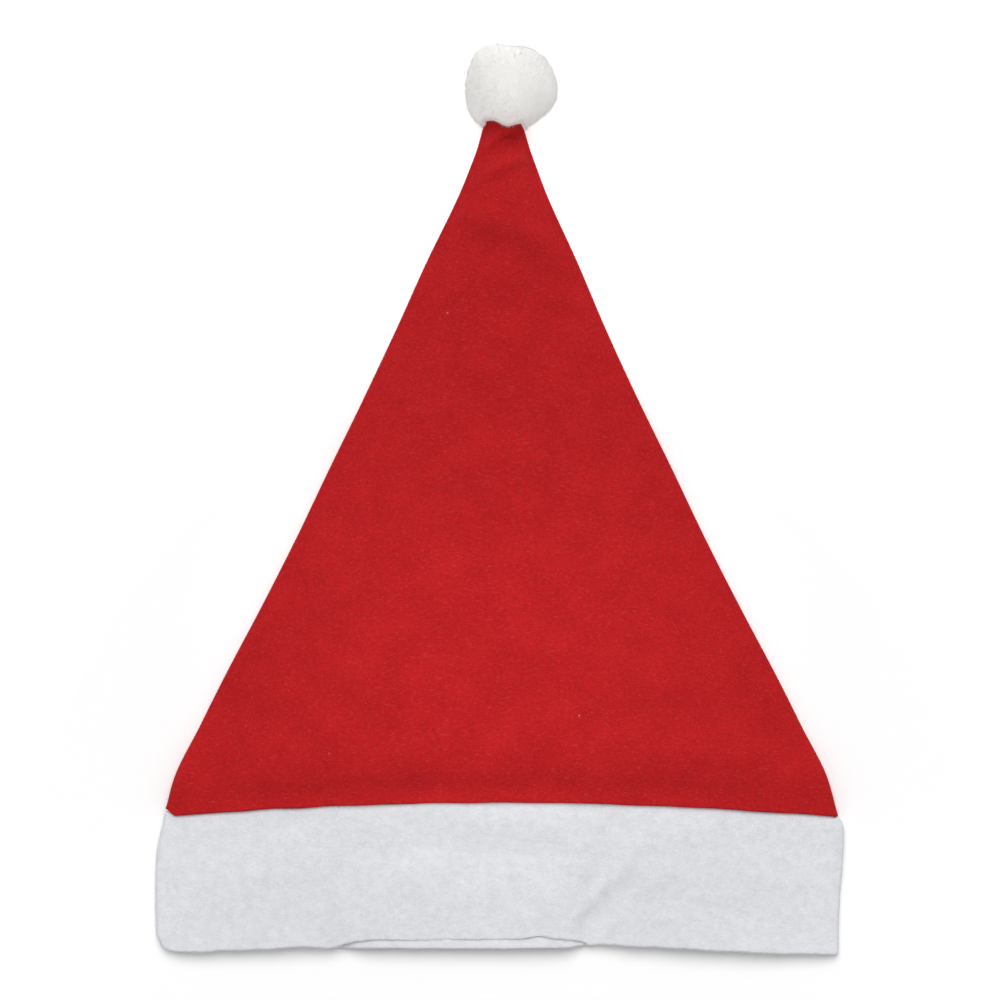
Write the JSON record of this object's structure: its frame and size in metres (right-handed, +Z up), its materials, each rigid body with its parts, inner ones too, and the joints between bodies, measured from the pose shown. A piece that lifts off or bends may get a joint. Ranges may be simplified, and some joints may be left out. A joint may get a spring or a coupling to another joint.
{
  "type": "santa hat",
  "caption": "Adult red felt Santa hat lying flat on its back, with a folded white felt band round its open mouth and a white pompom at its tip.",
  "frame": {"origin": "under the middle of the hat's box, on the surface that its back panel lies on", "axes": "+X to the right across the front panel, +Y from the mouth to the pompom, +Z up from the surface"},
  "size_m": [0.3012, 0.3968, 0.0361],
  "materials": {
    "red_felt": "matte",
    "white_felt": "matte",
    "white_yarn": "matte"
  },
  "bodies": {
    "root": {"felt_cone": "red_felt", "felt_band": "white_felt", "pompom": "white_yarn"}
  },
  "joints": []
}
